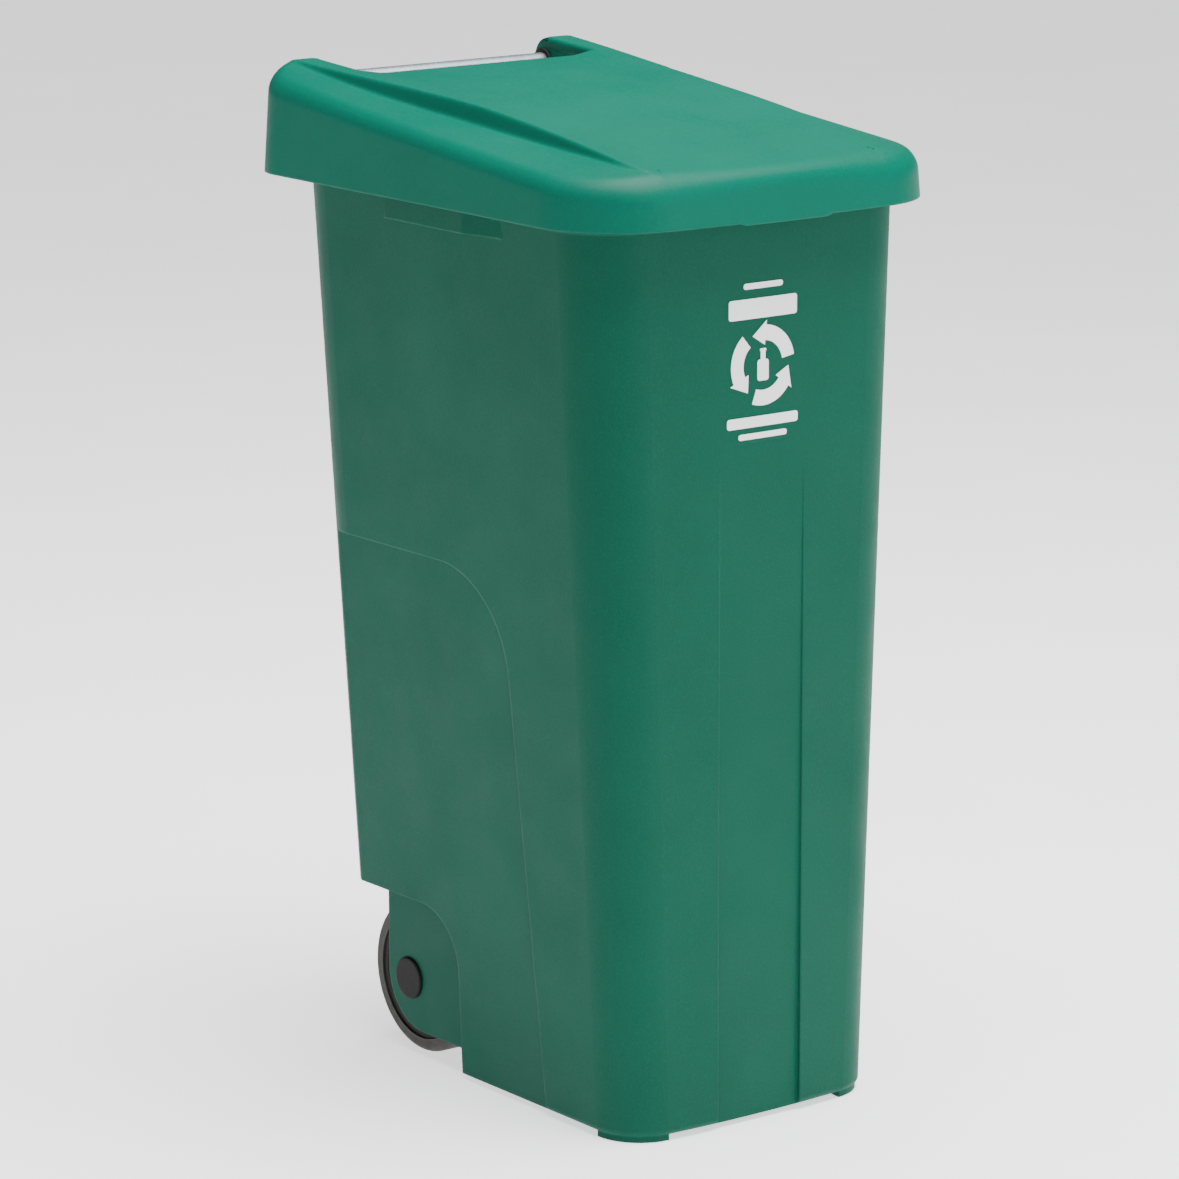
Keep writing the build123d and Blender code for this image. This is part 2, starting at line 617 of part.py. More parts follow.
def ears():
    """Arms that rise from the rear corners into the horns and hold the tube."""
    nose = Pos(HINGE_Y, HINGE_Z) * Circle(EAR_NOSE_RADIUS)
    rear = HINGE_Y - EAR_ROOT_REAR
    low = RIM_TOP - EAR_ROOT_DROP
    root = make_face(Polyline((rear - EAR_ROOT_LENGTH, low), (rear, low), (rear, low + 2),
                              (rear - EAR_ROOT_LENGTH, low + 2), close=True))
    arm = across(make_hull((nose + root).edges()), EAR_INNER, EAR_OUTER)
    return both_sides(arm)


def grip_lug():
    """Lug under the skirt on the tub's side, tapering to nothing at its front end."""
    top = SKIRT_BOTTOM - LUG_DROP + LUG_HEIGHT
    out = TUB_HALF_WIDTH + LUG_OUT
    deep = TUB_HALF_WIDTH - TUB_WALL / 2
    front = LUG_REAR - LUG_LENGTH - LUG_TAPER
    plan = make_face(Polyline((deep, LUG_REAR), (out, LUG_REAR), (out, LUG_REAR - LUG_LENGTH), (deep, front),
                              close=True))
    return extrude(Pos(0, 0, top - LUG_HEIGHT) * plan, LUG_HEIGHT)


def wheel_plates():
    """Cheeks outside the wheels and ribs inside them, which carry the axle."""
    cheek = across(cheek_shape(), CHEEK_INNER, CHEEK_OUTER)
    rib = across(cheek_shape(), RIB_INNER, RIB_OUTER)
    cheek -= rod(AXLE_RADIUS + CAP_BOSS_WALL, CHEEK_INNER - 1, CHEEK_OUTER + 1, AXLE_Y, AXLE_Z)
    rib -= rod(AXLE_RADIUS, RIB_INNER - 1, RIB_OUTER + 1, AXLE_Y, AXLE_Z)
    return both_sides(cheek + rib)


def feet():
    """Two pads under the front corners."""
    ring = tub_outline(FOOT_INSET, FOOT_HEIGHT)
    corner = Pos(BASE_HALF_WIDTH, tub_front(0) + TUB_BOW, FOOT_HEIGHT) * Circle(FOOT_RADIUS)
    pad = extrude(Pos(0, 0, -FOOT_HEIGHT) * (ring & corner), FOOT_HEIGHT + TUB_FLOOR / 2)
    return both_sides(pad)


def make_tub():
    """Moulded tub with its floor, rim, ears, lugs, wheel plates and feet."""
    tub = tub_form() - tub_space()
    tub += rim_lip()
    tub += rear_stop()
    tub += ears()
    tub += both_sides(grip_lug())
    tub += wheel_plates()
    tub += feet()
    tub -= both_sides(rod(PLUG_FLANGE_RADIUS, EAR_OUTER - PLUG_FLANGE, FAR, HINGE_Y, HINGE_Z))
    return tub - rod(TUBE_RADIUS, -FAR, FAR, HINGE_Y, HINGE_Z)


# ---- handle and hinge ----


def make_tube():
    """Handle tube from plug to plug."""
    end = EAR_OUTER - PLUG_FLANGE
    bar = rod(TUBE_RADIUS, -end, end, HINGE_Y, HINGE_Z)
    return bar - rod(TUBE_RADIUS - TUBE_WALL, -FAR, FAR, HINGE_Y, HINGE_Z)


def make_bush():
    """Flanged bush on the right side, fixed in the horn's inner wall."""
    inner = RECESS_HALF_WIDTH
    bore = TUBE_RADIUS + BUSH_RUNNING_GAP
    barrel = rod(bore + BUSH_WALL, inner, inner + BUSH_LENGTH, HINGE_Y, HINGE_Z)
    flange = rod(BUSH_FLANGE_RADIUS, inner - BUSH_FLANGE, inner, HINGE_Y, HINGE_Z)
    return barrel + flange - rod(bore, -FAR, FAR, HINGE_Y, HINGE_Z)


def make_plug():
    """Plug in the right end of the tube."""
    flange = rod(PLUG_FLANGE_RADIUS, EAR_OUTER - PLUG_FLANGE, EAR_OUTER, HINGE_Y, HINGE_Z)
    barrel = rod(TUBE_RADIUS - TUBE_WALL, EAR_OUTER - PLUG_LENGTH, EAR_OUTER, HINGE_Y, HINGE_Z)
    return flange + barrel - rod(SCREW_RADIUS, -FAR, FAR, HINGE_Y, HINGE_Z)


def make_screws():
    """One slotted screw through each plug."""
    face = EAR_OUTER
    head = rod(SCREW_HEAD_RADIUS, face, face + SCREW_HEAD, HINGE_Y, HINGE_Z)
    head = fillet(head.edges().sort_by(Axis.X)[-1], SCREW_HEAD / 3)
    slot = block(face + SCREW_HEAD / 2, FAR, HINGE_Y - SCREW_SLOT / 2, HINGE_Y + SCREW_SLOT / 2, 0, FAR)
    shank = rod(SCREW_RADIUS, face - SCREW_LENGTH, face, HINGE_Y, HINGE_Z)
    return both_sides(head - slot + shank)


# ---- wheels ----


def make_axle():
    """Steel rod from cheek to cheek."""
    end = CHEEK_OUTER - AXLE_TIP_SETBACK
    return rod(AXLE_RADIUS, -end, end, AXLE_Y, AXLE_Z)


def hub_ends():
    """Both end planes of the right wheel's hub."""
    outer = CHEEK_INNER - WASHER_THICKNESS - END_PLAY
    inner = RIB_OUTER + WASHER_THICKNESS + END_PLAY
    return inner, outer


def make_wheel():
    """Right wheel's core: hub, web, spokes and rim."""
    inner, outer = hub_ends()
    seat = WHEEL_RADIUS - TYRE_DEPTH
    rim_from = TYRE_INNER + RIM_INSET
    rim_to = TYRE_OUTER - RIM_INSET
    middle = (rim_from + rim_to) / 2
    hub = rod(HUB_RADIUS, inner, outer, AXLE_Y, AXLE_Z)
    rim = rod(seat, rim_from, rim_to, AXLE_Y, AXLE_Z) - rod(seat - CORE_RIM, -FAR, FAR, AXLE_Y, AXLE_Z)
    web = rod(seat - CORE_RIM / 2, middle - CORE_WEB / 2, middle + CORE_WEB / 2, AXLE_Y, AXLE_Z)
    core = hub + rim + web
    for index in range(CORE_SPOKES):
        reach = seat - CORE_RIM / 2
        spoke = block(rim_from + SPOKE_INSET, rim_to - SPOKE_INSET, -CORE_WEB / 2, CORE_WEB / 2, 0, reach)
        turn = Pos(0, AXLE_Y, AXLE_Z) * Rot(360 * index / CORE_SPOKES, 0, 0)
        core += turn * spoke
    return core - rod(AXLE_RADIUS + AXLE_RUNNING_GAP, -FAR, FAR, AXLE_Y, AXLE_Z)


def make_tyre():
    """Right wheel's tyre, with round shoulders and three grooves."""
    tyre = rod(WHEEL_RADIUS, TYRE_INNER, TYRE_OUTER, AXLE_Y, AXLE_Z)
    tyre = fillet(tyre.edges().filter_by(GeomType.CIRCLE), TYRE_SHOULDER)
    tyre -= rod(WHEEL_RADIUS - TYRE_DEPTH, -FAR, FAR, AXLE_Y, AXLE_Z)
    middle = (TYRE_INNER + TYRE_OUTER) / 2
    for shift in (-TREAD_PITCH, 0, TREAD_PITCH):
        low = middle + shift - TREAD_GROOVE / 2
        groove = rod(WHEEL_RADIUS + 1, low, low + TREAD_GROOVE, AXLE_Y, AXLE_Z)
        tyre -= groove - rod(WHEEL_RADIUS - TREAD_GROOVE_DEPTH, -FAR, FAR, AXLE_Y, AXLE_Z)
    return tyre


def make_cap():
    """Right axle cap: a low dome with a boss through the cheek, over the axle's end."""
    face = CHEEK_OUTER
    plate = rod(CAP_RADIUS, face, face + CAP_THICKNESS, AXLE_Y, AXLE_Z)
    plate = fillet(plate.edges().sort_by(Axis.X)[-1], CAP_DOME)
    boss = rod(AXLE_RADIUS + CAP_BOSS_WALL, CHEEK_INNER, face, AXLE_Y, AXLE_Z)
    return plate + boss - rod(AXLE_RADIUS, -FAR, face - AXLE_TIP_SETBACK, AXLE_Y, AXLE_Z)


def make_washers():
    """Washers at both ends of each hub."""
    washers = []
    for face in (RIB_OUTER, CHEEK_INNER - WASHER_THICKNESS):
        ring = rod(WASHER_RADIUS, face, face + WASHER_THICKNESS, AXLE_Y, AXLE_Z)
        washers.append(ring - rod(AXLE_RADIUS, -FAR, FAR, AXLE_Y, AXLE_Z))
    return both_sides(washers[0] + washers[1])


# ---- front marking ----


def ring_point(radius, degrees):
    """Point on a circle round the marking's centre."""
    angle = math.radians(degrees)
    return radius * math.cos(angle), radius * math.sin(angle)


def ring_arrow():
    """One arrow, bent to the ring."""
    outer = CenterArc((0, 0), RING_OUTER, 0, ARROW_SWEEP)
    inner = CenterArc((0, 0), RING_INNER, 0, ARROW_SWEEP)
    shaft = make_face(outer + Line(outer @ 1, inner @ 1) + inner + Line(inner @ 0, outer @ 0))
    tip = ring_point((RING_OUTER + RING_INNER) / 2, ARROW_SWEEP + HEAD_SWEEP)
    far_side = ring_point(RING_OUTER + HEAD_SPREAD, ARROW_SWEEP)
    near_side = ring_point(RING_INNER - HEAD_SPREAD, ARROW_SWEEP)
    return shaft + make_face(Polyline(far_side, tip, near_side, close=True))


def make_decal():
    """Printed film on the front: bars, a ring of three arrows and a bottle inside it."""
    arrow = ring_arrow()
    art = Rot(0, 0, ARROW_START) * arrow
    for turn in (120, 240):
        art += Rot(0, 0, ARROW_START + turn) * arrow
    for level, width, height in BARS:
        art += Pos(0, level) * RectangleRounded(width, height, BAR_ROUND)
    for level, width, height, rounding in BOTTLE:
        art += Pos(0, level) * RectangleRounded(width, height, rounding)
    centre = SKIRT_BOTTOM - MARK_DROP
    plane = Plane(origin=(0, 0, centre), x_dir=(1, 0, 0), z_dir=(0, -1, 0))
    prism = extrude(plane * art, -LID_FRONT)
    slab = block(-MARK_REACH, MARK_REACH, -FAR, 0, centre - MARK_REACH, centre + MARK_REACH)
    skin = (tub_block(-FILM, FOOT_HEIGHT, RIM_TOP) & slab) - tub_block(0, FOOT_HEIGHT, RIM_TOP)
    return prism & skin


def save(solid, name):
    """Write one piece to its own file."""
    export_step(solid, os.path.join("parts", name + ".step"))


def main():
    """Make every piece and write it."""
    os.makedirs("parts", exist_ok=True)
    save(make_lid(), "lid")
    save(make_tub(), "tub")
    save(make_tube(), "handle_tube")
    save(make_screws(), "handle_screws")
    save(make_axle(), "axle")
    save(make_washers(), "axle_washers")
    save(make_decal(), "front_decal")
    pairs = [("hinge_bush", make_bush()), ("handle_plug", make_plug()), ("wheel", make_wheel()),
             ("tyre", make_tyre()), ("axle_cap", make_cap())]
    for name, right in pairs:
        save(right, name + "_right")
        save(mirror(right, about=Plane.YZ), name + "_left")


if __name__ == "__main__":
    main()
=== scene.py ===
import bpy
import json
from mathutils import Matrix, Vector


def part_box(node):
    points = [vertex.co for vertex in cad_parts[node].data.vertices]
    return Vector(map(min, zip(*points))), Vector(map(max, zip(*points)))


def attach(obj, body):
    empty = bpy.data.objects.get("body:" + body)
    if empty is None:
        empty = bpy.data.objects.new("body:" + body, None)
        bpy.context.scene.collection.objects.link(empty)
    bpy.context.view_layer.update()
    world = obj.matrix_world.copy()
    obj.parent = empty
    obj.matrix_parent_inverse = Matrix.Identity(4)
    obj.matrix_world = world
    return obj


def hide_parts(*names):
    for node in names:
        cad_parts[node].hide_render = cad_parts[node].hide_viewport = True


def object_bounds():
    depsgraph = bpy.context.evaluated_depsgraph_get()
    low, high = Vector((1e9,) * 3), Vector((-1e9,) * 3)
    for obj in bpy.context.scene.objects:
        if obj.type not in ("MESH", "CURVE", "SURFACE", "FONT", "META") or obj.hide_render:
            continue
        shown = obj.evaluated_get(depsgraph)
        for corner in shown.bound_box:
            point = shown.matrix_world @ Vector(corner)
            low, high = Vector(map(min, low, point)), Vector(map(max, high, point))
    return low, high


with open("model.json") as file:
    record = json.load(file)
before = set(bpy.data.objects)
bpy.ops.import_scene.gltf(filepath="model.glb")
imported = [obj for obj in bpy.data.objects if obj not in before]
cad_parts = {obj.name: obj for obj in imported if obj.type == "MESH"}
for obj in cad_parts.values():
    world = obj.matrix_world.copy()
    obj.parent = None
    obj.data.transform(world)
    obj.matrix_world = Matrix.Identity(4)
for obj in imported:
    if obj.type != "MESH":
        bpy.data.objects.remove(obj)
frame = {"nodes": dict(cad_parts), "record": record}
cad_box = [list(corner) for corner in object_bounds()]

# %% [markdown]
# # A wheelie bin
# The imported model gives every hard piece its place: a tapered tub, a lid that turns on the handle tube,
# two wheels on one axle, and small caps, bushes and screws.  This script adds the finishes, the light
# and the camera, and swaps the plain imported lid for a finer one.

# %% Modules and places
import json
import math

import bmesh
import bpy
import numpy as np
from mathutils import Vector

nodes = frame["nodes"]
low, high = (Vector(corner) for corner in cad_box)
print("bin size in metres:", [round(value, 3) for value in high - low])

# %% [markdown]
# ## Camera and light
# A long lens from the front left, a little above the lid, keeps the tall sides nearly upright.  Seen from
# nearby through a short lens, they would run together towards the floor.

# %% Camera
def place_camera(turn, rise, distance, target, lens):
    """Camera that looks at a target from a turn and a rise in degrees."""
    camera = bpy.data.objects.new("camera", bpy.data.cameras.new("camera"))
    bpy.context.scene.collection.objects.link(camera)
    turn = math.radians(turn)
    rise = math.radians(rise)
    back = Vector((math.sin(turn) * math.cos(rise), -math.cos(turn) * math.cos(rise), math.sin(rise)))
    camera.location = Vector(target) + back * distance
    camera.rotation_mode = "QUATERNION"
    camera.rotation_quaternion = (-back).to_track_quat("-Z", "Y")
    camera.data.lens = lens
    camera.data.sensor_width = 36
    camera.data.clip_end = 200
    bpy.context.scene.camera = camera
    return camera


camera = place_camera(-37.56, 12.80, 4.5048, (-0.0077, 0, 0.4273), 157.3)
print("camera at", [round(value, 2) for value in camera.location])

# %% [markdown]
# The light comes from large soft panels: a strong one overhead, a weaker one in front on the right and
# a faint one on the left, so that the lid's top is the brightest face and the left side the darkest.
# Large panels give soft highlights along the rounded edges; small lamps would give hard spots.

# %% Light
def soft_light(name, place, aim, width, watts, colour=(1, 1, 1)):
    """Square area light that faces a point."""
    light = bpy.data.objects.new(name, bpy.data.lights.new(name, "AREA"))
    bpy.context.scene.collection.objects.link(light)
    light.location = place
    light.rotation_mode = "QUATERNION"
    light.rotation_quaternion = (Vector(aim) - Vector(place)).to_track_quat("-Z", "Y")
    light.data.size = width
    light.data.energy = watts
    light.data.color = colour
    return light


middle = (0, 0, 0.5)
soft_light("top_panel", (0.3, -0.5, 3.6), middle, 2.6, 330)
soft_light("front_panel", (1.6, -3.6, 1.6), middle, 2.4, 52)
soft_light("left_panel", (-3.6, -0.6, 1.2), middle, 2.4, 4)
world = bpy.data.worlds.new("room")
bpy.context.scene.world = world
world.use_nodes = True
world.node_tree.nodes["Background"].inputs["Color"].default_value = (1, 1, 1, 1)
world.node_tree.nodes["Background"].inputs["Strength"].default_value = 0.14
print("lights:", [item.name for item in bpy.data.lights])

# %% [markdown]
# ## Finishes
# Nearly everything is moulded plastic.  Up close it has a fine grain from the mould, slow waves where
# thick and thin walls cooled at different speeds, a sheen that changes a little from place to place,
# and paler rubbed edges.  One recipe makes them all, with its own values for each material.

# %% Helpers for materials
def blank_material(name):
    """New material with its node tree and shader."""
    material = bpy.data.materials.new(name)
    material.use_nodes = True
    return material, material.node_tree, material.node_tree.nodes["Principled BSDF"]


def add(tree, kind, **values):
    """Node with its properties set."""
    node = tree.nodes.new(kind)
    for key, value in values.items():
        setattr(node, key, value)
    return node


def noise(tree, place, scale, detail=3.0, rough=0.5):
    """Noise over the object's own coordinates; the scale is in features for each metre."""
    node = add(tree, "ShaderNodeTexNoise")
    node.inputs["Scale"].default_value = scale
    node.inputs["Detail"].default_value = detail
    node.inputs["Roughness"].default_value = rough
    tree.links.new(place, node.inputs["Vector"])
    return node.outputs["Fac"]


def spread(tree, value, low_in, high_in, low_out, high_out):
    """Rescale a value between two limits."""
    node = add(tree, "ShaderNodeMapRange", clamp=True)
    sockets = ("From Min", "From Max", "To Min", "To Max")
    for socket, number in zip(sockets, (low_in, high_in, low_out, high_out)):
        node.inputs[socket].default_value = number
    tree.links.new(value, node.inputs["Value"])
    return node.outputs["Result"]


def mixed(tree, share, first, second):
    """Colour between two colours by a share; each is a colour or a socket."""
    node = add(tree, "ShaderNodeMix", data_type="RGBA")
    tree.links.new(share, node.inputs["Factor"])
    for socket, value in ((node.inputs[6], first), (node.inputs[7], second)):
        if isinstance(value, tuple):
            socket.default_value = (*value, 1)
        else:
            tree.links.new(value, socket)
    return node.outputs[2]


def bump(tree, height, strength, depth, before=None):
    """Bump of a depth in metres, on top of an earlier one."""
    node = add(tree, "ShaderNodeBump")
    node.inputs["Strength"].default_value = strength
    node.inputs["Distance"].default_value = depth
    tree.links.new(height, node.inputs["Height"])
    if before is not None:
        tree.links.new(before, node.inputs["Normal"])
    return node.outputs["Normal"]


def edge_mask(tree, radius, least, most):
    """Near one on sharp edges, zero on flat faces."""
    bevel = add(tree, "ShaderNodeBevel", samples=6)
    bevel.inputs["Radius"].default_value = radius
    geometry = add(tree, "ShaderNodeNewGeometry")
    dot = add(tree, "ShaderNodeVectorMath", operation="DOT_PRODUCT")
    tree.links.new(bevel.outputs["Normal"], dot.inputs[0])
    tree.links.new(geometry.outputs["Normal"], dot.inputs[1])
    return spread(tree, dot.outputs["Value"], least, most, 1, 0)


def coordinates(tree):
    """Object coordinates, in metres."""
    return add(tree, "ShaderNodeTexCoord").outputs["Object"]


# %% [markdown]
# The recipe mixes two close colours in soft clouds, adds fine flecks of the rubbed colour, and lets the
# same rubbed colour show on sharp edges.  A Bevel node softens hard meetings in the shading, and two
# bumps lie on top of it: slow waves and the fine grain.  The gloss is kept low, because a bright room
# seen in a glossy green turns it grey.

# %% Moulded plastic
def moulded(name, colour, deep, worn, rough, grain, grain_depth, wave_depth=0.0006):
    """Moulded plastic: grain, slow waves, uneven sheen and rubbed edges."""
    material, tree, shader = blank_material(name)
    place = coordinates(tree)
    cloud = noise(tree, place, 7, 4)
    tint = mixed(tree, spread(tree, cloud, 0.3, 0.7, 0, 1), deep, colour)
    fleck = noise(tree, place, grain * 0.6, 2)
    tint = mixed(tree, spread(tree, fleck, 0.45, 0.8, 0, 0.28), tint, worn)
    scuff = noise(tree, place, 46, 6, 0.7)
    rim = edge_mask(tree, 0.0016, 0.86, 0.995)
    worn_rim = add(tree, "ShaderNodeMath", operation="MULTIPLY")
    tree.links.new(rim, worn_rim.inputs[0])
    tree.links.new(spread(tree, scuff, 0.35, 0.65, 0.12, 0.6), worn_rim.inputs[1])
    tint = mixed(tree, worn_rim.outputs[0], tint, worn)
    tree.links.new(tint, shader.inputs["Base Color"])
    sheen = spread(tree, noise(tree, place, 19, 5, 0.6), 0.3, 0.7, rough - 0.05, rough + 0.06)
    tree.links.new(sheen, shader.inputs["Roughness"])
    shader.inputs["IOR"].default_value = 1.4
    shader.inputs["Specular IOR Level"].default_value = 0.14
    soft = add(tree, "ShaderNodeBevel", samples=8)
    soft.inputs["Radius"].default_value = 0.0028
    waves = bump(tree, noise(tree, place, 9, 1), 0.5, wave_depth, soft.outputs["Normal"])
    pebble = bump(tree, noise(tree, place, grain, 2), 0.5, grain_depth, waves)
    tree.links.new(pebble, shader.inputs["Normal"])
    return material


# Name, colour, deeper colour, rubbed colour, roughness, grain size and grain depth.
PLASTICS = (
    ("tub_plastic", (0.0, 0.075, 0.045), (0.0, 0.066, 0.039), (0.0, 0.13, 0.082), 0.5, 900, 0.00022),
    ("lid_plastic", (0.0, 0.108, 0.07), (0.0, 0.098, 0.062), (0.0, 0.17, 0.115), 0.46, 900, 0.0002),
    ("plug_plastic", (0.02, 0.02, 0.02), (0.015, 0.015, 0.015), (0.1, 0.1, 0.1), 0.5, 1400, 0.00015),
    ("bush_plastic", (0.022, 0.022, 0.022), (0.016, 0.016, 0.016), (0.1, 0.1, 0.1), 0.5, 1400, 0.00015),
    ("cap_plastic", (0.011, 0.011, 0.01), (0.008, 0.008, 0.008), (0.05, 0.05, 0.05), 0.5, 1300, 0.0002),
    ("wheel_plastic", (0.028, 0.025, 0.024), (0.021, 0.019, 0.018), (0.08, 0.08, 0.075), 0.5, 1100, 0.0002),
)
finishes = {}
for name, *values in PLASTICS:
    finishes[name] = moulded(name, *values)
print("plastics:", sorted(finishes))

# %% [markdown]
# The tyre is a dull solid rubber, dusty in patches.  The handle tube is drawn aluminium
# with fine lines round it; the axle, washers and screws are zinc-plated steel with a mottled bloom.

# %% Rubber, metal and print
def rubber(name):
    """Dusty solid rubber."""
    material, tree, shader = blank_material(name)
    place = coordinates(tree)
    dust = noise(tree, place, 60, 6, 0.7)
    tint = mixed(tree, spread(tree, dust, 0.4, 0.75, 0, 1), (0.03, 0.028, 0.026), (0.085, 0.08, 0.074))
    rim = edge_mask(tree, 0.002, 0.8, 0.99)
    tint = mixed(tree, rim, tint, (0.1, 0.095, 0.09))
    tree.links.new(tint, shader.inputs["Base Color"])
    tree.links.new(spread(tree, dust, 0.3, 0.7, 0.62, 0.85), shader.inputs["Roughness"])
    rough = bump(tree, noise(tree, place, 700, 4, 0.6), 0.6, 0.0004)
    tree.links.new(rough, shader.inputs["Normal"])
    return material


def drawn_metal(name, colour, shade, rough, stretch):
    """Metal with fine lines drawn along or round it: stretch squeezes the noise on each axis."""
    material, tree, shader = blank_material(name)
    mapping = add(tree, "ShaderNodeMapping")
    mapping.inputs["Scale"].default_value = stretch
    tree.links.new(coordinates(tree), mapping.inputs["Vector"])
    lines = noise(tree, mapping.outputs["Vector"], 900, 3)
    bloom = noise(tree, coordinates(tree), 90, 5, 0.6)
    tint = mixed(tree, spread(tree, bloom, 0.35, 0.7, 0, 1), colour, shade)
    tree.links.new(tint, shader.inputs["Base Color"])
    shader.inputs["Metallic"].default_value = 1
    tree.links.new(spread(tree, lines, 0.3, 0.7, rough - 0.07, rough + 0.08), shader.inputs["Roughness"])
    tree.links.new(bump(tree, lines, 0.35, 0.00006), shader.inputs["Normal"])
    return material


def printed_film(name):
    """White printed film with a faint mottle and worn specks."""
    material, tree, shader = blank_material(name)
    place = coordinates(tree)
    mottle = noise(tree, place, 220, 4, 0.6)
    tint = mixed(tree, spread(tree, mottle, 0.62, 0.78, 0, 0.5), (0.9, 0.92, 0.91), (0.45, 0.6, 0.55))
    tree.links.new(tint, shader.inputs["Base Color"])
    tree.links.new(spread(tree, mottle, 0.3, 0.7, 0.32, 0.45), shader.inputs["Roughness"])
    tree.links.new(bump(tree, noise(tree, place, 900, 2), 0.4, 0.00012), shader.inputs["Normal"])
    return material


finishes["tyre_rubber"] = rubber("tyre_rubber")
# Name, colour, shade, roughness and how far the noise is squeezed on each axis.
METALS = (
    ("handle_metal", (0.3, 0.35, 0.38), (0.24, 0.28, 0.31), 0.46, (2.2, 0.12, 0.12)),
    ("axle_steel", (0.5, 0.5, 0.49), (0.36, 0.36, 0.36), 0.36, (2.0, 0.15, 0.15)),
    ("washer_steel", (0.52, 0.52, 0.5), (0.38, 0.38, 0.37), 0.38, (1, 1, 1)),
    ("screw_steel", (0.55, 0.55, 0.52), (0.4, 0.4, 0.38), 0.33, (1, 1, 1)),
)
for name, *values in METALS:
    finishes[name] = drawn_metal(name, *values)
finishes["decal_film"] = printed_film("decal_film")
print("finishes:", len(finishes))

# %% [markdown]
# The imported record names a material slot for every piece, so one loop gives each piece the finish of
# its slot.

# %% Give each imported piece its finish
def finish_node(name, material):
    """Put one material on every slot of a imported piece."""
    mesh = nodes[name].data
    if not mesh.materials:
        mesh.materials.append(material)
    for index in range(len(mesh.materials)):
        mesh.materials[index] = material


for part in frame["record"]["subparts"]:
    finish_node(part["node"], finishes[part["material_slot"]])
print("pieces with a finish:", len(nodes))

# %% [markdown]
# ## The lid
# The lid is one moulding about 3 mm thick.  A flared skirt hangs round it, a raised middle panel slopes
# down to the front, and two flat strips run beside the panel.  The wall between strip and panel is
# tallest halfway along and fades out at both ends, where the surfaces melt into each other.  At the
# rear two horns stand beside a recess for the hand.
#
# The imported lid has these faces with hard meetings, so this finer one takes its place.  It could be
# modelled from a cage and subdivided.  Here a formula gives the top's height at every point instead, so
# each meeting is as soft as one value says.  The values in the lid's cells are in millimetres.

# %% Lid: lines that shape the top
MM = 0.001
lid_low, lid_high = (np.array(corner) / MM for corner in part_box("lid"))
SKIRT_HALF, SKIRT_END, HORN_TOP = lid_high
tube_low, tube_high = (np.array(corner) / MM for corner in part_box("handle_tube"))
HINGE_AT = tuple((tube_low + tube_high)[1:] / 2)
GRIP_DEPTH = 3.5
SKIRT_LOW = lid_low[2] + GRIP_DEPTH
SKIRT_BOW = 9.6
FRONT_CORNER, REAR_CORNER = 84.0, 48.0
WALL = 3.0
HORN_ROUND = 19.0
RECESS_HALF = SKIRT_HALF - 67.2
RECESS_START = SKIRT_END - 86
RECESS_FLOOR = HORN_TOP - 77
FLOOR_END = SKIRT_END - 31
PANEL_REAR = HORN_TOP - 9  # height of the panel where it meets the recess
PANEL_FALL = 44.0  # how far the panel falls from there to the front
PANEL_CURVE = 1.8
HORN_SLOPE = 0.069
HORN_START = 70.0  # the horns rise out of the panel from here back
CREST_HALF = 128.0  # middle of the lid to the top of the panel's side wall
CREST_SPREAD = 24.0  # how much further out it is at the rear
CREST_PINCH = 22.0  # how much further in it is at the front tip
STRIP_SLOPE = 0.0985
STRIP_MIDDLE = 842.0
SIDE_WALL = 14.5  # height of the panel's side wall halfway along
WALL_START = 25.0  # front of the lid to where that wall grows out of the surface
WALL_STOP = 9.0  # rear of the lid to where it is gone again
PANEL_START = 7.0  # front of the lid to where the panel's fall is counted from
HORN_DROP = 0.4  # top of the lid's box to the horns' highest point
HORN_FOOT, HORN_RISE = 100.0, 32.0  # middle to where the horns start to rise, and over what width
SPREAD_FROM, SPREAD_OVER = 30.0, 33.0  # reach of the crest's spread, ahead of the middle and past the rear
TIP_AHEAD, TIP_LENGTH = 5.0, 70.0  # the crest's pinched front tip
STRIP_EDGE = 187.5  # middle to the strip's outer edge
STRIP_BULGE = 5.0
STRIP_RUN = 0.5  # slope of the strip's surface on under the panel
WALL_RUN = 0.42  # outward lean of the side wall for each millimetre down
CREST_SOFT, FOOT_SOFT = 2.2, 2.6  # rounding of the wall's top and of its foot
TOP_INSET = 18.4  # skirt's foot to the inner end of the rounded edge


def ease(share):
    """Smooth step from 0 to 1."""
    share = np.clip(share, 0, 1)
    return share * share * (3 - 2 * share)


def soft_max(first, second, reach):
    """The larger of two heights, with a rounded meeting."""
    share = np.clip(0.5 + 0.5 * (first - second) / reach, 0, 1)
    return second + (first - second) * share + reach * share * (1 - share)


def panel_line(y):
    """Height of the panel along its middle."""
    run = RECESS_START + SKIRT_END - PANEL_START
    share = np.clip((y + SKIRT_END - PANEL_START) / run, -0.04, 1)
    return PANEL_REAR - PANEL_FALL * (1 - share) ** PANEL_CURVE


def horn_line(y):
    """Height of the horns' tops."""
    top = HORN_TOP - HORN_DROP
    return np.minimum(top - HORN_SLOPE * (SKIRT_END - HORN_ROUND - y), top)


def crest_side(y):
    """Distance of the side wall's top from the middle of the lid."""
    rear = CREST_SPREAD * ease((y + SPREAD_FROM) / (SKIRT_END + SPREAD_OVER))
    tip = np.clip(1 - (y + SKIRT_END + TIP_AHEAD) / TIP_LENGTH, 0, 1)
    return CREST_HALF + rear - CREST_PINCH * tip ** 2


